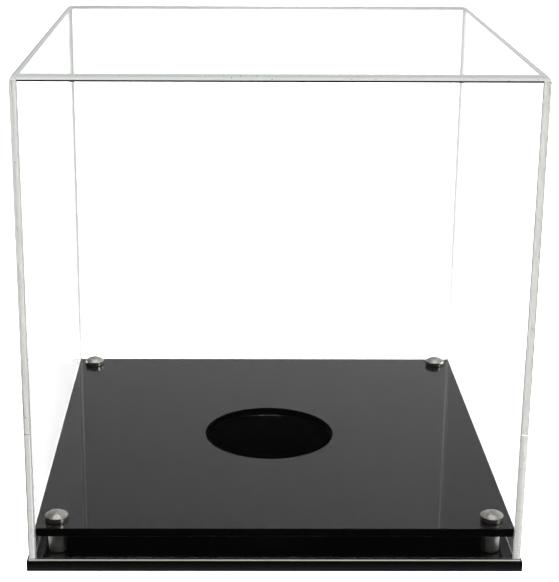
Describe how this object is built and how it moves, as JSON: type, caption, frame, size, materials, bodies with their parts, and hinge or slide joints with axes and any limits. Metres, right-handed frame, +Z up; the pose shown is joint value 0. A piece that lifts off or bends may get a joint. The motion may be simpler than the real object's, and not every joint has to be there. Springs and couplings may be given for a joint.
{
  "type": "soccer ball display case",
  "caption": "Clear acrylic cover over a gloss black base, with a raised black platform on metal standoffs and a round seat hole for the ball.",
  "frame": {"origin": "on the surface the case stands on, under the centre of its base", "axes": "+Z up and along the way the cover lifts off, +X to the right seen from the front, front at -Y"},
  "size_m": [0.2628, 0.2628, 0.2665],
  "materials": {
    "clear_acrylic": "clear polished sheet",
    "black_acrylic": "high gloss sheet with machined edges",
    "satin_nickel": "satin nickel plate",
    "plated_steel": "zinc plated",
    "soft_rubber": "matt"
  },
  "bodies": {
    "base": {"base_plate": "black_acrylic", "display_platform": "black_acrylic", "standoff_cap_front_left": "satin_nickel", "standoff_cap_front_right": "satin_nickel", "standoff_cap_back_left": "satin_nickel", "standoff_cap_back_right": "satin_nickel", "standoff_barrel_front_left": "satin_nickel", "standoff_barrel_front_right": "satin_nickel", "standoff_barrel_back_left": "satin_nickel", "standoff_barrel_back_right": "satin_nickel", "standoff_stud_front_left": "plated_steel", "standoff_stud_front_right": "plated_steel", "standoff_stud_back_left": "plated_steel", "standoff_stud_back_right": "plated_steel", "base_screw_front_left": "plated_steel", "base_screw_front_right": "plated_steel", "base_screw_back_left": "plated_steel", "base_screw_back_right": "plated_steel", "foot_front_left": "soft_rubber", "foot_front_right": "soft_rubber", "foot_back_left": "soft_rubber", "foot_back_right": "soft_rubber"},
    "cover": {"cover_shell": "clear_acrylic", "cover_front_panel": "clear_acrylic", "cover_back_panel": "clear_acrylic"}
  },
  "joints": [
    {"name": "cover_lift", "type": "slide", "parent": "base", "child": "cover", "axis": [0, 0, 1], "range_m": [0, 0.25]}
  ]
}
